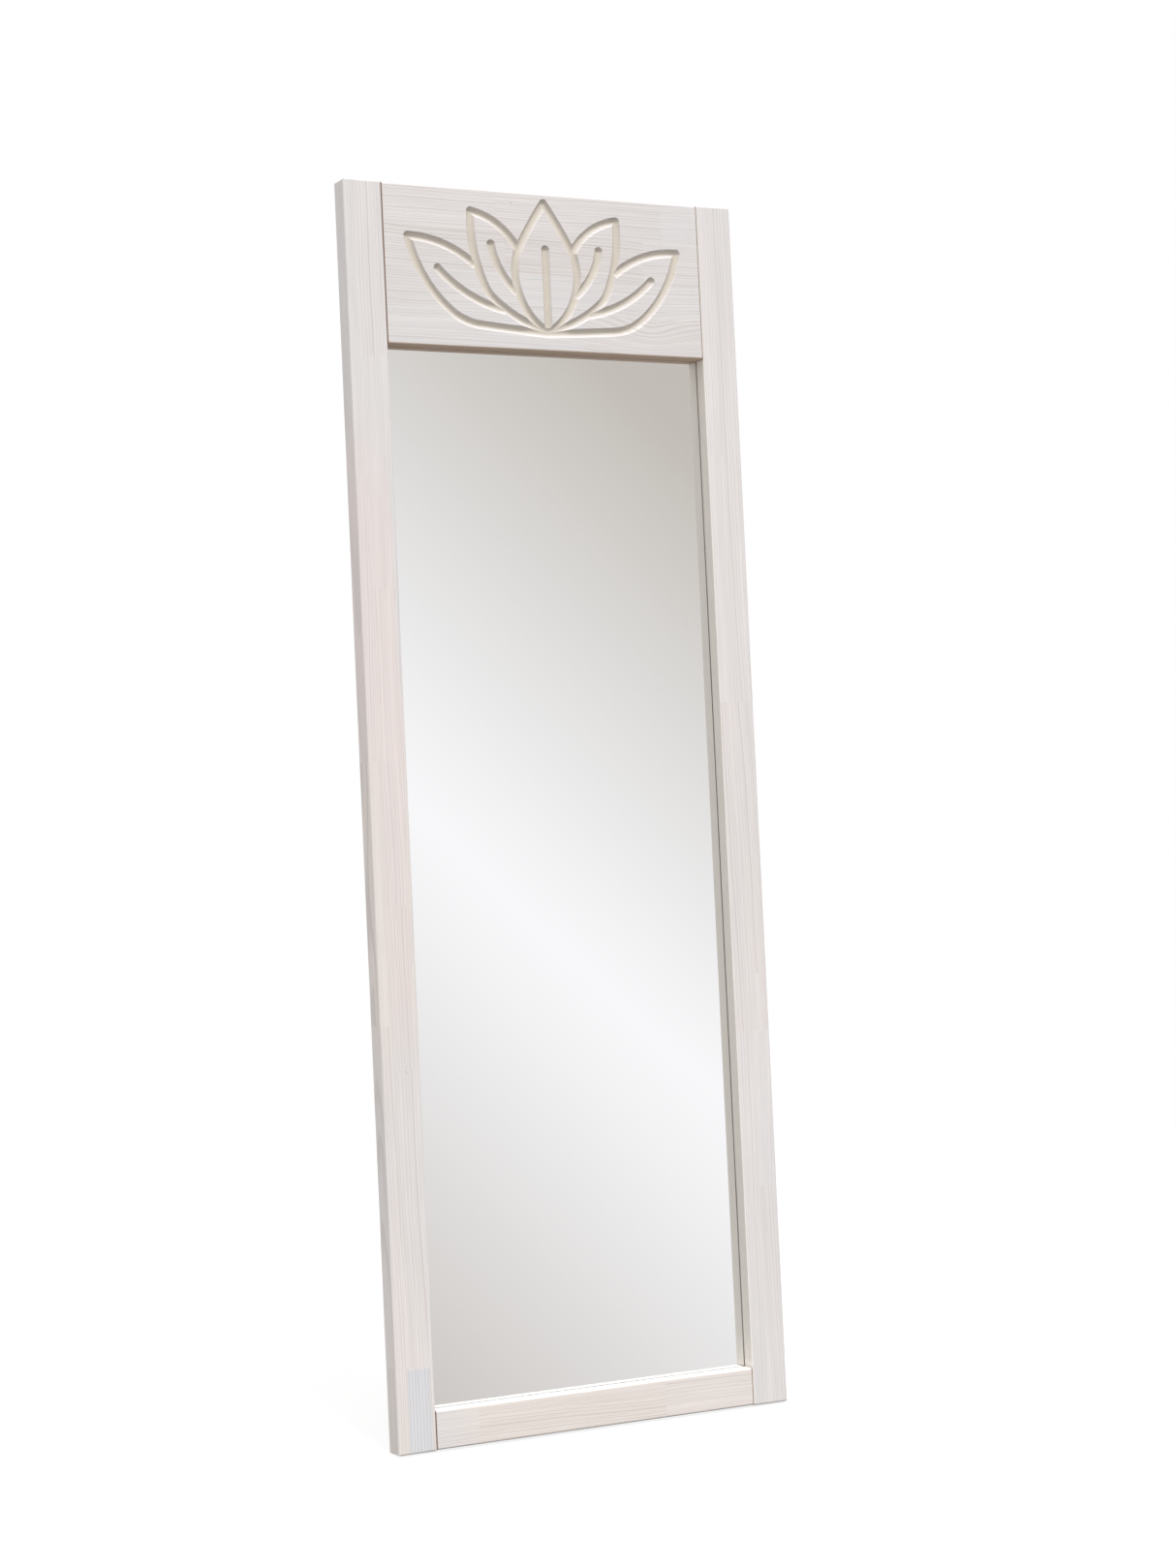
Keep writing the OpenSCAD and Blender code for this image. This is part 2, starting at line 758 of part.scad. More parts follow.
// Raised track on the outer face of a leg; the slot's end near the hinge is the opening stop
module track() {
    x0 = leg_out;
    x1 = leg_out + track_t;
    x2 = leg_out + track_h;
    x3 = x2 + track_t;
    s0 = track_s0;
    s1 = track_s1;
    f = track_foot;
    t = track_t;
    difference() {
        translate([0, track_w / 2, 0]) rotate([90, 0, 0]) linear_extrude(track_w)
            polygon([[x0, -s0 + f], [x1, -s0 + f], [x1, -s0 + t], [x3, -s0 + t], [x3, -s1 - t],
                [x1, -s1 - t], [x1, -s1 - f], [x0, -s1 - f], [x0, -s1], [x2, -s1], [x2, -s0],
                [x0, -s0]]);
        for (s = [slide_open - slot_gap, slide_folded + slot_gap])
            translate([x2 - 1, 0, -s]) facing_right() cylinder(r = slot_r, h = track_t + 2);
        translate([x2 - 1, -slot_r, -slide_folded])
            cube([track_t + 2, 2 * slot_r, slide_folded - slide_open]);
        at_track_screws() screw_hole(track_screw_l);
    }
}

module track_left() {
    color(zinc) on_track() handed("left") track();
}

module track_right() {
    color(zinc) on_track() track();
}

module track_screws() {
    color(zinc) on_track() both_sides() at_track_screws() screw(track_screw_l);
}

// Rubber pad under a leg, flat on the floor
module foot_pad() {
    w = leg_w - 2 * pad_inset;
    l = leg_cut_l - 2 * pad_inset;
    y = front_y + pad_y_rel;
    translate([0, 0, 0]) linear_extrude(pad_t)
        polygon(eased_rect([leg_pitch / 2 - w / 2, y - l / 2], [leg_pitch / 2 + w / 2, y + l / 2],
            [3, 3, 3, 3]));
}

module foot_pad_left() {
    color(rubber) handed("left") foot_pad();
}

module foot_pad_right() {
    color(rubber) foot_pad();
}

// Flat stay bar with a hole for the rivet and one for the stud
module stay_arm() {
    difference() {
        along_x(arm_x0, arm_x1) polygon(strip_points(stay_l, stay_w / 2));
        for (z = [0, -stay_l]) translate([arm_x0 - 1, 0, z]) facing_right()
            cylinder(r = stud_r + running_gap, h = stay_t + 2);
    }
}

module stay_stud() {
    translate([0, 0, -stay_l]) rivet(arm_x0, arm_x1, arm_x0 - leg_out - track_h + 0.3, 0);
}

module stay_arm_left() {
    color(zinc) on_stay() handed("left") stay_arm();
}

module stay_arm_right() {
    color(zinc) on_stay() stay_arm();
}

module stay_stud_left() {
    color(zinc) on_stay() handed("left") stay_stud();
}

module stay_stud_right() {
    color(zinc) on_stay() stay_stud();
}

stile_left();
stile_right();
top_rail();
bottom_rail();
rail_dowels();
mirror_pane();
back_panel();
panel_clips();
clip_screws();
hinge_batten();
stay_batten();
batten_screws();
frame_leaf_left();
frame_leaf_right();
frame_leaf_screws();
hinge_pin_left();
hinge_pin_right();
stay_bracket_left();
stay_bracket_right();
bracket_screws();
stay_rivet_left();
stay_rivet_right();
leg_left();
leg_right();
top_crossbar();
middle_crossbar();
lower_crossbar();
crossbar_dowels();
strut_leaf_left();
strut_leaf_right();
strut_leaf_screws();
track_left();
track_right();
track_screws();
foot_pad_left();
foot_pad_right();
stay_arm_left();
stay_stud_left();
stay_arm_right();
stay_stud_right();
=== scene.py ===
import json
import math

import bmesh
import bpy
from mathutils import Matrix, Vector

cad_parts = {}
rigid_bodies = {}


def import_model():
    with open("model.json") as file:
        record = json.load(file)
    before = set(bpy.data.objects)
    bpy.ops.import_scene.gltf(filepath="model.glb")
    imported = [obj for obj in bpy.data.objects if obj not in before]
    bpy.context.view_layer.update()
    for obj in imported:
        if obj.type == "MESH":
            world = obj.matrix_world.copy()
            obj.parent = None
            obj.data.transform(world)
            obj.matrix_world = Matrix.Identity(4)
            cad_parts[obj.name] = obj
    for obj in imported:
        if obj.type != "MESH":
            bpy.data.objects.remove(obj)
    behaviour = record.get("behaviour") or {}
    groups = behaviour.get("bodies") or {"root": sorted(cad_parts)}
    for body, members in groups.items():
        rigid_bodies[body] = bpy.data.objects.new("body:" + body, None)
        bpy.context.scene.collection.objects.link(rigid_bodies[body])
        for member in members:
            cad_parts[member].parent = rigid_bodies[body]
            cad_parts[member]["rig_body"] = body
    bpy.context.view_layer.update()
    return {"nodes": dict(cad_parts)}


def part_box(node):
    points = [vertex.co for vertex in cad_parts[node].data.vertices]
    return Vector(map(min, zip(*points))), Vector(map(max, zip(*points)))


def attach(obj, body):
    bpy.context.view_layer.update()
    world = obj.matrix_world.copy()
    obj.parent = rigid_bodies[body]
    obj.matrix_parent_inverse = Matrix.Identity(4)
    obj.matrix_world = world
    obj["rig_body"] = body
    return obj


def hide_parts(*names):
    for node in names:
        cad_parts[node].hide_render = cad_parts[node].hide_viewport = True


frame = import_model()
nodes = frame["nodes"]

# ---- Studio: camera, soft light, pale floor --------------------------------------------------
# The mirror stands on a white sweep. The eye stands well round to its left, at about two thirds
# of its height, and looks slightly down. A soft light hangs high in front, a touch to the right.

LENS = 67.24
EYE_FROM_FOOT = Vector((-1.560, -3.479, 1.082))
EYE_TURNED_DOWN = math.radians(2.90)
EYE_TURNED_RIGHT = math.radians(27.89)
WHITE = (1.0, 1.0, 1.0, 1.0)

scene = bpy.context.scene
camera = bpy.data.objects.new("camera", bpy.data.cameras.new("camera"))
camera.data.lens = LENS
camera.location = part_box("stile_left")[0] + EYE_FROM_FOOT
camera.rotation_euler = (math.radians(90) - EYE_TURNED_DOWN, 0, -EYE_TURNED_RIGHT)
scene.collection.objects.link(camera)
scene.camera = camera
scene.view_settings.view_transform = "Standard"


def add(tree, kind, inputs=None, **settings):
    """A new node with its settings made and each named socket set, or linked to another."""
    node = tree.nodes.new(kind)
    for key, value in settings.items():
        setattr(node, key, value)
    for socket, value in (inputs or {}).items():
        if isinstance(value, bpy.types.NodeSocket):
            tree.links.new(value, node.inputs[socket])
        else:
            node.inputs[socket].default_value = value
    return node


def calc(tree, operation, *values, clamp=False):
    """The result of one sum on numbers or sockets."""
    numbered = dict(enumerate(values))
    return add(tree, "ShaderNodeMath", numbered, operation=operation, use_clamp=clamp).outputs[0]


def dot(tree, first, second):
    """How far one direction points the same way as another."""
    return add(tree, "ShaderNodeVectorMath", {0: first, 1: second},
               operation="DOT_PRODUCT").outputs["Value"]


def between(tree, value, start, end, first=0.0, last=1.0, curve="LINEAR"):
    """Passes from first to last while the value passes from start to end."""
    return add(tree, "ShaderNodeMapRange", {"Value": value, 1: start, 2: end, 3: first, 4: last},
               interpolation_type=curve).outputs[0]


def ramp(tree, factor, stops, interpolation="LINEAR"):
    """The colour found at the factor's place among the given (place, colour) stops."""
    node = add(tree, "ShaderNodeValToRGB", {0: factor})
    node.color_ramp.interpolation = interpolation
    points = node.color_ramp.elements
    while len(points) < len(stops):
        points.new(1.0)
    for point, (place, colour) in zip(points, stops):
        point.position = place
        point.color = colour
    return node.outputs["Color"]


def shared(tree, factor, first, second):
    """One shader passing into another as the factor goes from 0 to 1."""
    return add(tree, "ShaderNodeMixShader", {0: factor, 1: first, 2: second}).outputs[0]


# What the mirror sees of the room: pale walls with one soft bright band falling to the right.
BAND_DIRECTION = (0.632, 0.403, 0.662)
BAND_STOPS = (
    (0.200, (0.50, 0.48, 0.46, 1)),
    (0.340, (0.64, 0.605, 0.585, 1)),
    (0.455, (0.935, 0.93, 0.945, 1)),
    (0.479, (0.985, 0.98, 1.0, 1)),
    (0.500, (0.935, 0.93, 0.945, 1)),
    (0.635, (0.565, 0.53, 0.49, 1)),
    (0.800, (0.52, 0.49, 0.46, 1)),
)

# The light that fills the shadows: more from above, less from the right, and hardly any below.
FILL_LEVEL = 0.59
FILL_UPWARD = 0.50
FILL_RIGHTWARD = -0.20
FILL_LEAST = 0.02

world = bpy.data.worlds.new("studio")
world.use_nodes = True
scene.world = world
sky = world.node_tree
sky.nodes.clear()
direction = add(sky, "ShaderNodeTexCoord").outputs["Generated"]
ray = add(sky, "ShaderNodeLightPath").outputs
band = ramp(sky, calc(sky, "ADD", dot(sky, direction, BAND_DIRECTION), 0.5, clamp=True), BAND_STOPS)
rightward, _, upward = add(sky, "ShaderNodeSeparateXYZ", {0: direction}).outputs
fill = calc(sky, "MULTIPLY_ADD", upward, FILL_UPWARD, FILL_LEVEL)
fill = calc(sky, "MULTIPLY_ADD", rightward, FILL_RIGHTWARD, fill)
fill = calc(sky, "MAXIMUM", fill, FILL_LEAST)
fill_light = add(sky, "ShaderNodeBackground", {"Color": WHITE, "Strength": fill}).outputs[0]
seen_by_mirror = add(sky, "ShaderNodeBackground", {"Color": band}).outputs[0]
seen_by_eye = add(sky, "ShaderNodeBackground", {"Color": WHITE}).outputs[0]
lit = shared(sky, ray["Is Glossy Ray"], fill_light, seen_by_mirror)
shown = shared(sky, ray["Is Camera Ray"], lit, seen_by_eye)
add(sky, "ShaderNodeOutputWorld", {"Surface": shown})


def soft_light(name, energy, spread, towards):
    """A distant light, spread over some degrees, on the side it is placed towards."""
    light = bpy.data.objects.new(name, bpy.data.lights.new(name, "SUN"))
    light.data.energy = energy
    light.data.angle = math.radians(spread)
    light.rotation_euler = Vector(towards).to_track_quat("Z", "Y").to_euler()
    light.visible_glossy = False
    scene.collection.objects.link(light)


# The main light is high and in front. A weaker one behind gives shape to the strut and the back.
soft_light("key_light", 2.55, 14, (0.06, -0.42, 0.902))
soft_light("rear_light", 1.3, 25, (0.45, 0.75, 0.48))

# The floor is matt white paper that also glows, so it stays white under soft shadows. Its rim
# fades out.
FLOOR_RADIUS = 3.0
FLOOR_FADES_FROM = 0.7
FLOOR_GLOW = 0.84

shape = bmesh.new()
bmesh.ops.create_circle(shape, cap_ends=True, segments=96, radius=FLOOR_RADIUS)
floor_mesh = bpy.data.meshes.new("floor")
shape.to_mesh(floor_mesh)
shape.free()
floor = bpy.data.objects.new("floor", floor_mesh)
scene.collection.objects.link(floor)
floor.visible_diffuse = False
floor.visible_glossy = False
paper = bpy.data.materials.new("white_paper")
paper.use_nodes = True
sheet = paper.node_tree
paper_shader = sheet.nodes["Principled BSDF"]
paper_shader.inputs["Base Color"].default_value = (0.97, 0.97, 0.97, 1)
paper_shader.inputs["Roughness"].default_value = 0.9
paper_shader.inputs["Specular IOR Level"].default_value = 0.0
glow = add(sheet, "ShaderNodeEmission", {"Color": WHITE, "Strength": 1.0}).outputs[0]
glowing = shared(sheet, FLOOR_GLOW, paper_shader.outputs[0], glow)
out_from_middle = add(sheet, "ShaderNodeVectorMath", {
    0: add(sheet, "ShaderNodeTexCoord").outputs["Object"]}, operation="LENGTH").outputs["Value"]
thin = between(sheet, out_from_middle, FLOOR_FADES_FROM, FLOOR_RADIUS, curve="SMOOTHSTEP")
faded = shared(sheet, thin, glowing, add(sheet, "ShaderNodeBsdfTransparent").outputs[0])
sheet.links.new(faded, sheet.nodes["Material Output"].inputs["Surface"])
floor_mesh.materials.append(paper)

# ---- Stiles -----------------------------------------------------------------------------------
# The two long uprights are ripped from edge-glued pine board, planed and eased along every
# arris, then whitewashed and oiled matt. Short blocks of pine meet end to end along them.

LEAN = math.radians(5.75)
MM = 1000

# The tints that the whitewash takes on different blocks of pine.
PINK = (0.785, 0.705, 0.680)
ROSE = (0.770, 0.698, 0.672)
PEARL = (0.745, 0.712, 0.700)
MILK = (0.775, 0.728, 0.712)
CREAM = (0.780, 0.715, 0.675)
GREY = (0.725, 0.690, 0.678)
BLUE = (0.735, 0.715, 0.720)
COOL_RING = (0.50, 0.52, 0.55, 1)
WARM_RING = (0.58, 0.50, 0.46, 1)
KNOT_BROWN = (0.36, 0.27, 0.20, 1)


def shader_for(name):
    """A new material, its node tree and its shader."""
    material = bpy.data.materials.new(name)
    material.use_nodes = True
    tree = material.node_tree
    return material, tree, tree.nodes["Principled BSDF"]


def surface(tree, shader, colour, rough, height, depth):
    """Gives a shader its colour, its roughness and a fine relief of some depth in metres."""
    tree.links.new(colour, shader.inputs["Base Color"])
    tree.links.new(rough, shader.inputs["Roughness"])
    relief = add(tree, "ShaderNodeBump", {"Height": height, "Distance": depth, "Strength": 1.0})
    tree.links.new(relief.outputs[0], shader.inputs["Normal"])


def board_box(node, lean):
    """The lower front left corner of a leaning board, then its width, thickness and height."""
    low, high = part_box(node)
    width, reach_back, rise = high - low
    slope, level = math.sin(abs(lean)), math.cos(lean)
    thickness = (reach_back * level - rise * slope) / math.cos(2 * lean)
    height = (rise * level - reach_back * slope) / math.cos(2 * lean)
    forward = max(0.0, -height * math.sin(lean))
    lifted = max(0.0, thickness * math.sin(lean))
    return low + Vector((0, forward, lifted)), width, thickness, height


def board_places(tree, lean, corner, along):
    """Where a point lies in its board, in mm: along the grain, across it and into the board."""
    turn = Matrix.Rotation(lean, 3, "X")
    seated = add(tree, "ShaderNodeMapping", {
        "Vector": add(tree, "ShaderNodeTexCoord").outputs["Object"],
        "Location": -MM * (turn @ corner), "Rotation": (lean, 0, 0), "Scale": (MM, MM, MM)})
    x, y, z = add(tree, "ShaderNodeSeparateXYZ", {0: seated.outputs[0]}).outputs
    return (z, x, y) if along == "Z" else (x, z, y)


def stretched(tree, places, across, along, shift=0.0):
    """A place in the board, scaled one way across the grain and another along it."""
    l, a, d = places
    return add(tree, "ShaderNodeCombineXYZ", {
        0: calc(tree, "MULTIPLY", a, across),
        1: calc(tree, "MULTIPLY", d, across),
        2: calc(tree, "MULTIPLY_ADD", l, along, shift)}).outputs[0]


def noise(tree, where, detail, scale=1.0, roughness=0.5):
    """Smooth noise at a point."""
    return add(tree, "ShaderNodeTexNoise", {
        "Vector": where, "Scale": scale, "Detail": detail, "Roughness": roughness}).outputs["Fac"]


def line_noise(tree, place, scale):
    """Smooth noise along a line."""
    return add(tree, "ShaderNodeTexNoise", {"W": place, "Scale": scale, "Detail": 1.0},
               noise_dimensions="1D").outputs["Fac"]


def luck_of(tree, number):
    """Random numbers that stay the same for one number: a colour, and a single value."""
    return add(tree, "ShaderNodeTexWhiteNoise", {"W": number}, noise_dimensions="1D").outputs


def blend(tree, factor, first, second):
    """One colour passing into another as the factor goes from 0 to 1."""
    return add(tree, "ShaderNodeMix", {0: factor, 6: first, 7: second}, data_type="RGBA").outputs[2]


def toned(tree, colour, tone):
    """A colour made lighter or darker."""
    return add(tree, "ShaderNodeVectorMath", {0: colour, "Scale": tone},
               operation="SCALE").outputs[0]


def near(tree, place, middle, reach):
    """1 at the middle, falling softly to 0 over the reach."""
    off = calc(tree, "DIVIDE", calc(tree, "SUBTRACT", place, middle), reach)
    return calc(tree, "DIVIDE", 1.0, calc(tree, "MULTIPLY_ADD", off, off, 1.0))


def glued_blocks(tree, l, a, length, strips):
    """The tint of each block of a board glued up from strips, and a number that marks it."""
    tint = mark = None
    number = 0
    place = calc(tree, "DIVIDE", l, length)
    for edge, ends, tints in strips:
        wash = ramp(tree, place, [(spot / length, (*colour, 1)) for spot, colour in tints])
        marks = []
        for start in (0, *ends):
            number += 1
            marks.append((start / length, (number / 100,) * 3 + (1,)))
        block = ramp(tree, place, marks, "CONSTANT")
        if tint is None:
            tint, mark = wash, block
        else:
            past = calc(tree, "GREATER_THAN", a, edge)
            tint = blend(tree, past, tint, wash)
            mark = blend(tree, past, mark, block)
    return tint, add(tree, "ShaderNodeSeparateColor", {0: mark}).outputs[0]


# The heart of the tree lies off to one side of each block and behind its face, in mm, and the
# block is cut at a small slope to it. The rings drift, and no two are equally wide or dark.
HEART_ASIDE = (50.0, 90.0)
HEART_BEHIND = (5.0, 45.0)
HEART_SLOPE = (-0.025, 0.05)
RING_DRIFT = 12.0
RING_UNEVEN = 2.4
DRIFT_ACROSS, DRIFT_ALONG = 0.010, 0.0035
BLOCKS_APART = 900.0
LATEWOOD_DARKENS = (0.35, 0.85)
LATEWOOD_ENDS = (0.86, 1.0)
PALEST_YEAR, DARKER_YEARS = 0.4, 0.6
KNOT_STRETCH = 3.0
KNOT_SHARPNESS = 12.0


def ring_lines(tree, places, mark, luck, knots, ring):
    """The dark latewood lines of each block, and the dark cores of its knots if it has any."""
    l, a, d = places
    luck_side, luck_deep, luck_tilt = luck
    block_shift = calc(tree, "MULTIPLY", mark, BLOCKS_APART)
    drift = noise(tree, stretched(tree, places, DRIFT_ACROSS, DRIFT_ALONG, block_shift), 1.0)
    nearest, spread = HEART_ASIDE
    side = calc(tree, "MULTIPLY_ADD", luck_side, spread, nearest)
    least, spread = HEART_SLOPE
    tilt = calc(tree, "MULTIPLY", calc(tree, "MULTIPLY_ADD", luck_tilt, spread, least), l)
    out = calc(tree, "ADD", calc(tree, "ADD", a, side), tilt)
    nearest, spread = HEART_BEHIND
    deep = calc(tree, "SUBTRACT", calc(tree, "MULTIPLY_ADD", luck_deep, spread, nearest), d)
    squares = calc(tree, "MULTIPLY_ADD", out, out, calc(tree, "MULTIPLY", deep, deep))
    from_heart = calc(tree, "MULTIPLY_ADD", drift, RING_DRIFT, calc(tree, "SQRT", squares))
    core = None
    for knot_along, knot_across, swell, size, darkness in knots:
        spot = calc(tree, "MULTIPLY", near(tree, l, knot_along, KNOT_STRETCH * size),
                    near(tree, a, knot_across, size))
        from_heart = calc(tree, "MULTIPLY_ADD", spot, swell, from_heart)
        dark = calc(tree, "MULTIPLY", calc(tree, "POWER", spot, KNOT_SHARPNESS), darkness)
        core = dark if core is None else calc(tree, "MAXIMUM", core, dark)
    rings = calc(tree, "DIVIDE", from_heart, ring)
    rings = calc(tree, "MULTIPLY_ADD", line_noise(tree, rings, 0.35), RING_UNEVEN, rings)
    part = calc(tree, "FRACT", rings)
    darkened = between(tree, part, *LATEWOOD_DARKENS, curve="SMOOTHSTEP")
    not_ended = between(tree, part, *LATEWOOD_ENDS, 1.0, 0.0)
    year = luck_of(tree, calc(tree, "FLOOR", rings))["Value"]
    lines = calc(tree, "MULTIPLY", calc(tree, "MULTIPLY", darkened, not_ended),
                 calc(tree, "MULTIPLY_ADD", year, DARKER_YEARS, PALEST_YEAR))
    return lines, core


# Fibres are hair-fine streaks along the grain, broken where the white stain fills the pores,
# and clouds are where the stain lies a little thicker.
FIBRES_ACROSS, FIBRES_ALONG = 0.75, 0.014
CLOUDS_ACROSS, CLOUDS_ALONG = 0.05, 0.006
FIBRE_TONES = (0.945, 1.055)
WEAKEST_LINES, STRONGER_LINES = 0.40, 0.30
PINE_RELIEF = 0.00012


def pine(node, lean, along, strips, knots=(), ring=3.4, grain=1.0, shade=None):
    """
    Whitewashed pine, with sizes in mm from the board's lower left corner. Each strip is
    (edge across, ends of its blocks, ((place, tint), ...)), and each knot is
    (place along, place across, swell of the rings, size, darkness).
    """
    material, tree, shader = shader_for("pine_" + node)
    corner, width, _, height = board_box(node, lean)
    places = board_places(tree, lean, corner, along)
    l, a, d = places
    tint, mark = glued_blocks(tree, l, a, MM * (height if along == "Z" else width), strips)
    luck = add(tree, "ShaderNodeSeparateColor", {0: luck_of(tree, mark)["Color"]}).outputs
    lines, core = ring_lines(tree, places, mark, luck, knots, ring)
    fibres = noise(tree, stretched(tree, places, FIBRES_ACROSS, FIBRES_ALONG), 5.0, roughness=0.75)
    clouds = noise(tree, stretched(tree, places, CLOUDS_ACROSS, CLOUDS_ALONG), 2.0)
    tilt = luck[2]
    strength = calc(tree, "MULTIPLY_ADD", tilt, STRONGER_LINES, WEAKEST_LINES)
    strength = calc(tree, "MULTIPLY", strength, grain)
    ring_colour = blend(tree, tilt, COOL_RING, WARM_RING)
    stained = blend(tree, calc(tree, "MULTIPLY", lines, strength), tint, ring_colour)
    if core is not None:
        stained = blend(tree, core, stained, KNOT_BROWN)
    if shade:
        stained = shade(tree, stained, l, a, d)
    streak = between(tree, fibres, 0.30, 0.70, *FIBRE_TONES)
    tone = calc(tree, "MULTIPLY", streak, calc(tree, "MULTIPLY_ADD", clouds, 0.10, 0.965))
    height = calc(tree, "MULTIPLY_ADD", lines, 0.6, calc(tree, "MULTIPLY", fibres, 1.6))
    rough = calc(tree, "MULTIPLY_ADD", fibres, 0.24, 0.44)
    surface(tree, shader, toned(tree, stained, tone), rough, height, PINE_RELIEF)
    shader.inputs["Specular IOR Level"].default_value = 0.35
    return material


SHARPEST_BEND = math.radians(30)


def dressed(node, material):
    """A carried-over node as one welded mesh, round where it is round, with its finish on."""
    shape = bmesh.new()
    shape.from_mesh(nodes[node].data)
    bmesh.ops.remove_doubles(shape, verts=shape.verts, dist=1e-6)
    for face in shape.faces:
        face.smooth = True
    for edge in shape.edges:
        edge.smooth = edge.is_manifold and edge.calc_face_angle() < SHARPEST_BEND
    mesh = bpy.data.meshes.new(node + "_finished")
    shape.to_mesh(mesh)
    shape.free()
    mesh.materials.append(material)
    piece = bpy.data.objects.new(node + "_finished", mesh)
    scene.collection.objects.link(piece)
    flats = piece.modifiers.new("even_flats", "WEIGHTED_NORMAL")
    flats.keep_sharp = True
    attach(piece, nodes[node]["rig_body"])
    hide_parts(node)


def pine_board(node, lean, along, strips, **look):
    """A pine board dressed in its own whitewashed pine."""
    dressed(node, pine(node, lean, along, strips, **look))


FOOT_BLOCK_TOP = 110.0
FOOT_BLOCK_MIDDLE, FOOT_BLOCK_HALF = 33.0, 16.0
FOOT_LINE_PITCH = 4.7
FOOT_LINE = (0.47, 0.51, 0.57, 1)


def foot_block_shade(tree, stained, l, a, d):
    """The block at the left foot was cut on the quarter: even blue-grey lines run up it."""
    inside = calc(tree, "MULTIPLY", calc(tree, "LESS_THAN", l, FOOT_BLOCK_TOP),
                  calc(tree, "COMPARE", a, FOOT_BLOCK_MIDDLE, FOOT_BLOCK_HALF))
    wander = line_noise(tree, calc(tree, "MULTIPLY", l, 0.02), 1.0)
    place = calc(tree, "MULTIPLY_ADD", wander, 1.6, a)
    wave = calc(tree, "SINE", calc(tree, "MULTIPLY", place, 2 * math.pi / FOOT_LINE_PITCH))
    lines = calc(tree, "POWER", calc(tree, "MULTIPLY_ADD", wave, 0.5, 0.5), 2.0)
    strength = calc(tree, "MULTIPLY", lines, calc(tree, "MULTIPLY", inside, 0.50))
    return blend(tree, strength, stained, FOOT_LINE)


def inner_lip_painted_light(tree, stained, l, a, d):
    """Painted light: the edge beside the glass is lightened, standing in for light the mirror
    throws onto it.
    """
    return blend(tree, between(tree, a, 0.3, 1.4, 1.0, 0.0), stained, (0.95, 0.90, 0.84, 1))


pine_board("stile_left", LEAN, "Z", (
    (0, (110, 560, 911, 1300), (
        (0, CREAM), (250, MILK), (420, PEARL), (600, CREAM), (860, CREAM), (1000, PINK),
        (1250, PINK), (1420, PEARL))),
    (17, (110, 503, 717, 911, 1144, 1460), (
        (109, BLUE), (111, MILK), (360, PEARL), (500, PEARL), (600, ROSE), (830, PINK),
        (1230, PINK), (1400, PEARL), (1650, MILK))),
    (49, (110, 640, 1010, 1300), (
        (0, PEARL), (160, MILK), (420, PEARL), (620, CREAM), (800, CREAM), (960, PINK),
        (1080, PEARL), (1700, PEARL))),
), knots=((503, 34, 5, 1.6, 0.6),), shade=foot_block_shade)
pine_board("stile_right", LEAN, "Z", (
    (0, (520, 985, 1340), (
        (0, PEARL), (450, MILK), (700, PEARL), (1000, MILK), (1700, MILK))),
    (24, (300, 600, 985, 1340), (
        (0, PEARL), (350, PEARL), (560, MILK), (900, PEARL), (1200, MILK), (1700, PEARL))),
), shade=inner_lip_painted_light)

# ---- Top rail ---------------------------------------------------------------------------------
# A wide edge-glued board, dowelled between the stiles. A lotus is cut into its face with a
# round-nosed cutter, which goes through the white stain into duller, warmer wood.

CARVED_WOOD = (0.655, 0.595, 0.520, 1)
UNDER_EDGE_BROWN = (0.68, 0.52, 0.40, 1)
SEAM_END_GRAIN_AND_SHADE = (0.22, 0.13, 0.09, 1)
SEAM_STARTS, SEAM_FULL = 1.9, 1.0
RAIL_LENGTH = MM * board_box("top_rail", LEAN)[1]
FLOWER_ALONG = (245.0, 238.0)
FLOWER_ACROSS = (110.0, 104.5)
CUT_STARTS, CUT_FULL, DEEPEST_CUT = 0.7, 1.8, 5.5
TOP_HIGHLIGHT_FROM, TOP_HIGHLIGHT_FULL = 0.22, 0.50


def butt_seams(tree, stained, l):
    """A thin dark line where a rail meets a stile: bare end grain, and painted shade standing in
    for the crevice between them.
    """
    half = RAIL_LENGTH / 2
    from_middle = calc(tree, "ABSOLUTE", calc(tree, "SUBTRACT", l, half))
    seam = between(tree, from_middle, half - SEAM_STARTS, half - SEAM_FULL)
    return blend(tree, seam, stained, SEAM_END_GRAIN_AND_SHADE)


def top_rail_shade(tree, stained, l, a, d):
    """Carved lines with a painted highlight on their up-facing walls, a darker brown under edge,
    the end seams.
    """
    flower = calc(tree, "MULTIPLY", calc(tree, "COMPARE", l, *FLOWER_ALONG),
                  calc(tree, "COMPARE", a, *FLOWER_ACROSS))
    cut = calc(tree, "MULTIPLY", flower, between(tree, d, CUT_STARTS, CUT_FULL))
    cut = calc(tree, "MULTIPLY", cut, calc(tree, "LESS_THAN", d, DEEPEST_CUT))
    # Painted highlight: walls of the cuts that face upward keep the pale stained colour, as if lit
    # from above.
    facing_up = dot(tree, add(tree, "ShaderNodeTexCoord").outputs["Normal"],
                    (0.0, math.sin(LEAN), math.cos(LEAN)))
    painted_top_highlight = between(tree, facing_up, TOP_HIGHLIGHT_FROM, TOP_HIGHLIGHT_FULL)
    cut = calc(tree, "MULTIPLY", cut, calc(tree, "SUBTRACT", 1.0, painted_top_highlight))
    stained = blend(tree, cut, stained, CARVED_WOOD)
    # A darker, browner band along the under edge.
    under = between(tree, a, 0.2, 1.6, 1.0, 0.0)
    return butt_seams(tree, blend(tree, under, stained, UNDER_EDGE_BROWN), l)


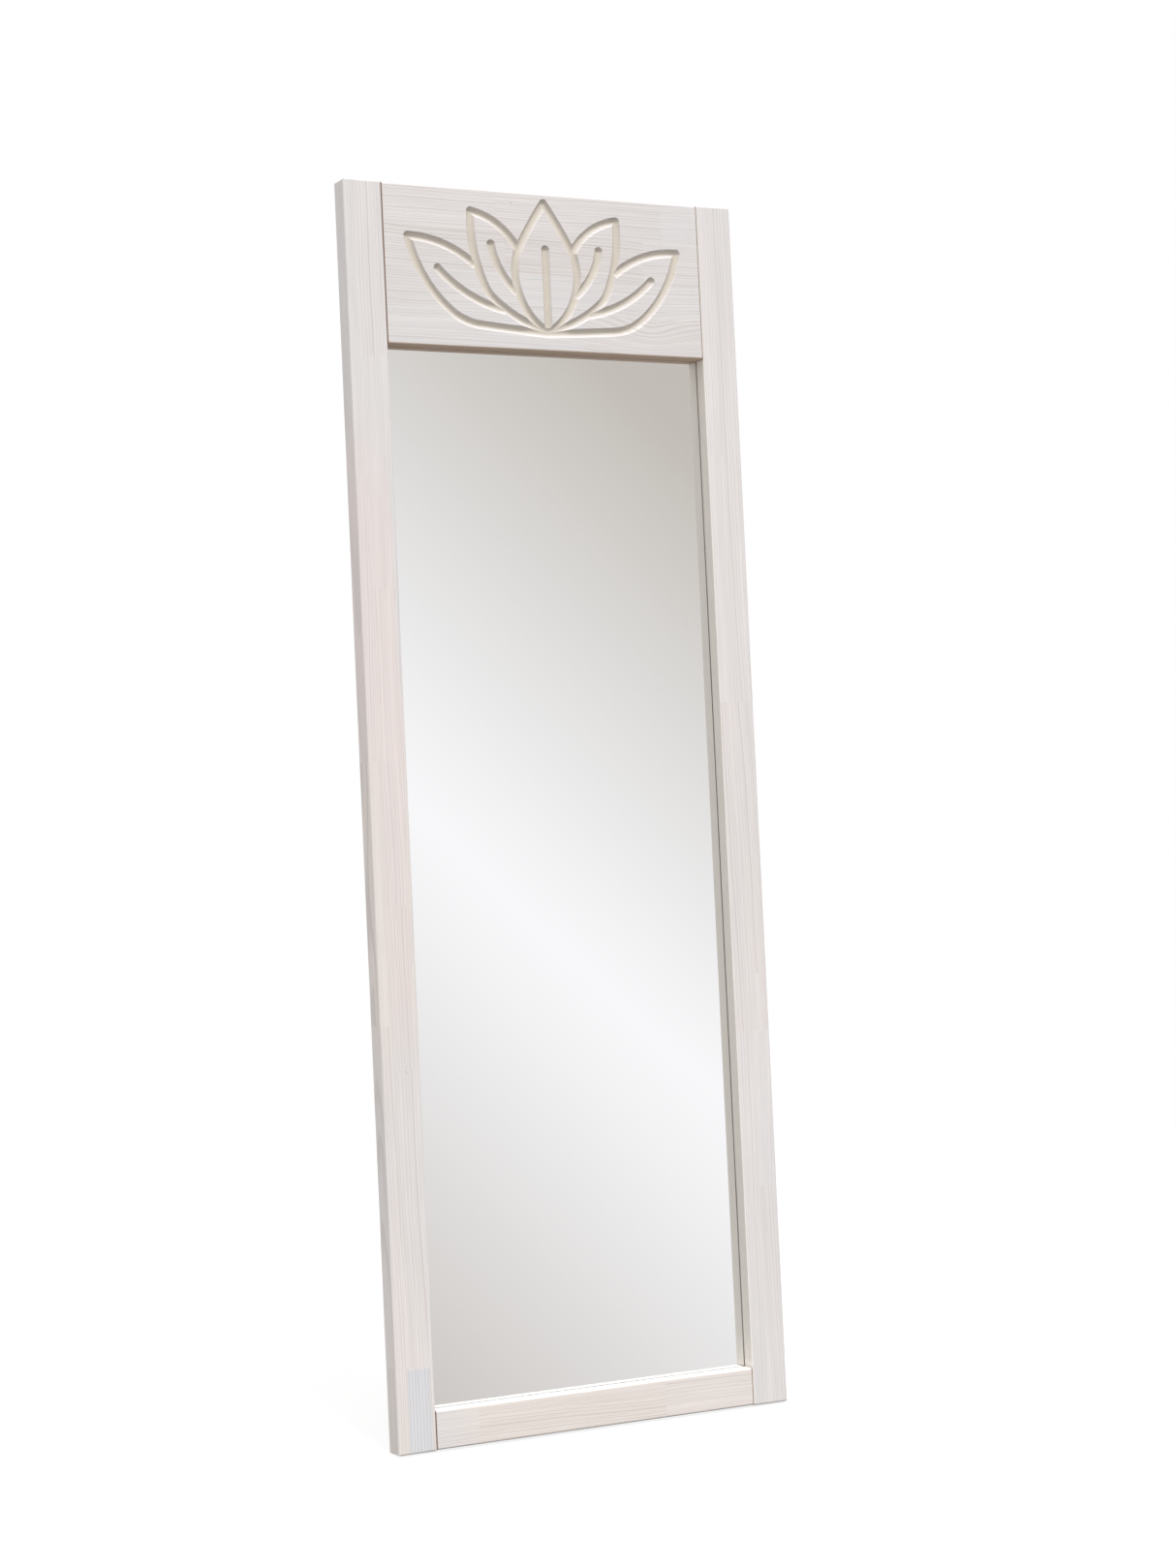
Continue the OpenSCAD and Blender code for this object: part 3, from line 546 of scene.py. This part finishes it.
pine_board("top_rail", LEAN, "X", (
    (0, (300,), ((0, PEARL), (300, PEARL), (420, GREY))),
    (52, (210, 330), ((0, GREY), (210, PEARL), (330, GREY), (490, PEARL))),
    (104, (180, 400), ((0, PEARL), (180, GREY), (490, PEARL))),
    (163, (170, 430), ((0, MILK), (170, MILK), (430, PEARL))),
), knots=((402, 28, 26, 24.0, 0.0), (195, 202, 4, 1.4, 0.6)), ring=3.2, grain=1.3,
    shade=top_rail_shade)

# ---- Bottom rail ------------------------------------------------------------------------------
# A narrow pine rail, dowelled between the stiles under the mirror. Its top edge is the ledge that
# the glass stands behind, and it is painted near-white there as a highlight from the light above.

LEDGE_STARTS, LEDGE_FULL = 50.6, 51.6
LEDGE_HIGHLIGHT = (0.90, 0.90, 0.89, 1)


def bottom_rail_shade(tree, stained, l, a, d):
    """A painted highlight whitening the lit top edge along the ledge, and the end seams."""
    ledge = between(tree, a, LEDGE_STARTS, LEDGE_FULL)
    return butt_seams(tree, blend(tree, ledge, stained, LEDGE_HIGHLIGHT), l)


pine_board("bottom_rail", LEAN, "X", (
    (0, (62, 350), ((0, PEARL), (62, CREAM), (490, CREAM))),
), shade=bottom_rail_shade)

# ---- Rail dowels ------------------------------------------------------------------------------
# Turned beech pegs, glued across each butt joint. Short brown flecks run along the wood.


def speckled(name, ground, fleck, size, stretch, amount, relief, rough):
    """A body colour with scattered flecks of a second colour, which also stand up a little."""
    material, tree, shader = shader_for(name)
    place = add(tree, "ShaderNodeMapping", {
        "Vector": add(tree, "ShaderNodeTexCoord").outputs["Object"],
        "Scale": tuple(1 / (size * pull) for pull in stretch)}).outputs[0]
    patches = noise(tree, place, 4.0, roughness=0.7)
    fine = noise(tree, place, 3.0, scale=4.0)
    colour = blend(tree, between(tree, patches, 0.62 - 0.2 * amount, 0.74), ground, fleck)
    tone = calc(tree, "MULTIPLY_ADD", fine, 0.3, 0.85)
    uneven_rough = calc(tree, "MULTIPLY_ADD", patches, 0.3, rough - 0.15)
    height = calc(tree, "ADD", patches, fine)
    surface(tree, shader, toned(tree, colour, tone), uneven_rough, height, relief)
    return material


beech = speckled("beech", (0.66, 0.47, 0.30, 1), (0.42, 0.26, 0.14, 1), size=0.0008,
                 stretch=(6, 1, 1), amount=0.6, relief=0.00005, rough=0.6)
dressed("rail_dowels", beech)

# ---- Mirror -----------------------------------------------------------------------------------
# Float glass, silvered on the back. The picture forms in the silver, part way into the glass,
# so the bright face lies a little behind the lip of the frame.

SILVER_BEHIND_FACE = 0.0015

silver, _, silver_shader = shader_for("silvered_glass")
silver_shader.inputs["Base Color"].default_value = (0.955, 0.96, 0.955, 1)
silver_shader.inputs["Metallic"].default_value = 1.0
silver_shader.inputs["Roughness"].default_value = 0.0

pane_low, pane_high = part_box("mirror_pane")
_, pane_width, pane_thickness, pane_height = board_box("mirror_pane", LEAN)
seat = Matrix.Translation((pane_low + pane_high) / 2) @ Matrix.Rotation(-LEAN, 4, "X")
set_back = Matrix.Translation((0, SILVER_BEHIND_FACE / 2, 0))
silver_size = Matrix.Diagonal((pane_width, pane_thickness - SILVER_BEHIND_FACE, pane_height, 1))
shape = bmesh.new()
bmesh.ops.create_cube(shape, size=1, matrix=seat @ set_back @ silver_size)
pane_mesh = bpy.data.meshes.new("mirror_glass")
shape.to_mesh(pane_mesh)
shape.free()
pane_mesh.materials.append(silver)
pane = bpy.data.objects.new("mirror_glass", pane_mesh)
scene.collection.objects.link(pane)
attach(pane, "frame")
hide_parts("mirror_pane")

# ---- Back panel and clips ---------------------------------------------------------------------
# Brown hardboard, smooth side out, closes the rabbet. Cranked zinc clips hold it, each with one
# small cross-head screw.

hardboard = speckled("hardboard", (0.30, 0.185, 0.105, 1), (0.42, 0.29, 0.18, 1), size=0.0016,
                     stretch=(1.6, 1, 1), amount=1.0, relief=0.00004, rough=0.55)
dressed("back_panel", hardboard)

CRYSTALS_PER_METRE = 700.0
CLOUDS_PER_METRE = 90.0
LINES_PER_METRE = 5000.0
LINE_ENDS_PER_METRE = 120.0
ZINC_TINTS = (
    (0.25, (0.58, 0.60, 0.62, 1)),
    (0.60, (0.66, 0.665, 0.66, 1)),
    (0.80, (0.71, 0.70, 0.67, 1)),
)


def zinc(name, along):
    """Bright zinc plate over rolled steel: cloudy crystals and fine rolling lines one way."""
    material, tree, shader = shader_for(name)
    where = add(tree, "ShaderNodeTexCoord").outputs["Object"]
    crystals = add(tree, "ShaderNodeTexVoronoi", {"Vector": where, "Scale": CRYSTALS_PER_METRE})
    grey = add(tree, "ShaderNodeSeparateColor", {0: crystals.outputs["Color"]}).outputs[0]
    cloud = noise(tree, where, 3.0, scale=CLOUDS_PER_METRE)
    lines_at = add(tree, "ShaderNodeMapping", {"Vector": where, "Scale": tuple(
        LINE_ENDS_PER_METRE if axis == along else LINES_PER_METRE for axis in "XYZ")})
    lines = noise(tree, lines_at.outputs[0], 3.0)
    mixed = calc(tree, "MULTIPLY_ADD", grey, 0.35, calc(tree, "MULTIPLY", cloud, 0.65))
    rough = calc(tree, "MULTIPLY_ADD", cloud, 0.25, 0.16)
    rough = calc(tree, "MULTIPLY_ADD", lines, 0.14, rough)
    surface(tree, shader, ramp(tree, mixed, ZINC_TINTS), rough, lines, 0.000015)
    shader.inputs["Metallic"].default_value = 1.0
    return material


zinc_across = zinc("zinc_across", "X")
zinc_upright = zinc("zinc_upright", "Z")
dressed("panel_clips", zinc_across)
dressed("clip_screws", zinc_upright)

# ---- Battens ----------------------------------------------------------------------------------
# Two pine battens screwed across the backs of the stiles. The upper one carries the hinges and
# the lower one the stays. They get the same white stain, in a single thin coat.

pine_board("hinge_batten", LEAN, "X", (
    (0, (340,), ((0, CREAM), (570, PEARL))),
    (38, (210,), ((0, PINK), (570, CREAM))),
), ring=4.2, grain=1.2)
pine_board("stay_batten", LEAN, "X", (
    (0, (260,), ((0, PEARL), (570, ROSE))),
), knots=((150, 24, 9, 3.0, 0.7),), ring=4.0, grain=1.2)
dressed("batten_screws", zinc_upright)

# ---- Hinges -----------------------------------------------------------------------------------
# A pair of pressed steel butt hinges. Each leaf is rolled round a loose pin with two domed heads,
# and is held by countersunk screws.

for side in ("left", "right"):
    dressed("frame_leaf_" + side, zinc_across)
    dressed("hinge_pin_" + side, zinc_upright)
    dressed("strut_leaf_" + side, zinc_across)
dressed("frame_leaf_screws", zinc_upright)
dressed("strut_leaf_screws", zinc_upright)

# ---- Strut ------------------------------------------------------------------------------------
# The folding back leg: two pine legs and three crossbars, dowelled together like a ladder.

STRUT_LEAN = -math.radians(10.25)

for side, joints, tints in (("left", (420, 700), ((0, CREAM), (420, PINK), (1110, PEARL))),
                            ("right", (350, 810), ((0, PEARL), (350, ROSE), (1110, CREAM)))):
    pine_board("leg_" + side, STRUT_LEAN, "Z", ((0, joints, tints),), ring=4.2, grain=1.2)
for bar, tint in (("top_crossbar", CREAM), ("middle_crossbar", PINK), ("lower_crossbar", PEARL)):
    bar_length = MM * board_box(bar, STRUT_LEAN)[1]
    one_strip = (0, (), ((0, tint), (bar_length, tint)))
    pine_board(bar, STRUT_LEAN, "X", (one_strip,), ring=4.2, grain=1.2)
dressed("crossbar_dowels", beech)

# ---- Stays ------------------------------------------------------------------------------------
# A flat steel arm on each side turns on a rivet in its bracket. A stud at the far end slides in
# a slotted track on the leg, and the end of the slot stops it when the strut is fully open.

for side in ("left", "right"):
    dressed("stay_bracket_" + side, zinc_across)
    dressed("stay_rivet_" + side, zinc_upright)
    dressed("stay_arm_" + side, zinc_upright)
    dressed("stay_stud_" + side, zinc_upright)
    dressed("track_" + side, zinc_upright)
dressed("bracket_screws", zinc_upright)
dressed("track_screws", zinc_upright)

# ---- Foot pads --------------------------------------------------------------------------------
# Moulded rubber pads under the two legs, matt and slightly pitted.

rubber = speckled("rubber", (0.035, 0.034, 0.033, 1), (0.075, 0.072, 0.07, 1), size=0.0006,
                  stretch=(1, 1, 1), amount=0.5, relief=0.00006, rough=0.8)
dressed("foot_pad_left", rubber)
dressed("foot_pad_right", rubber)
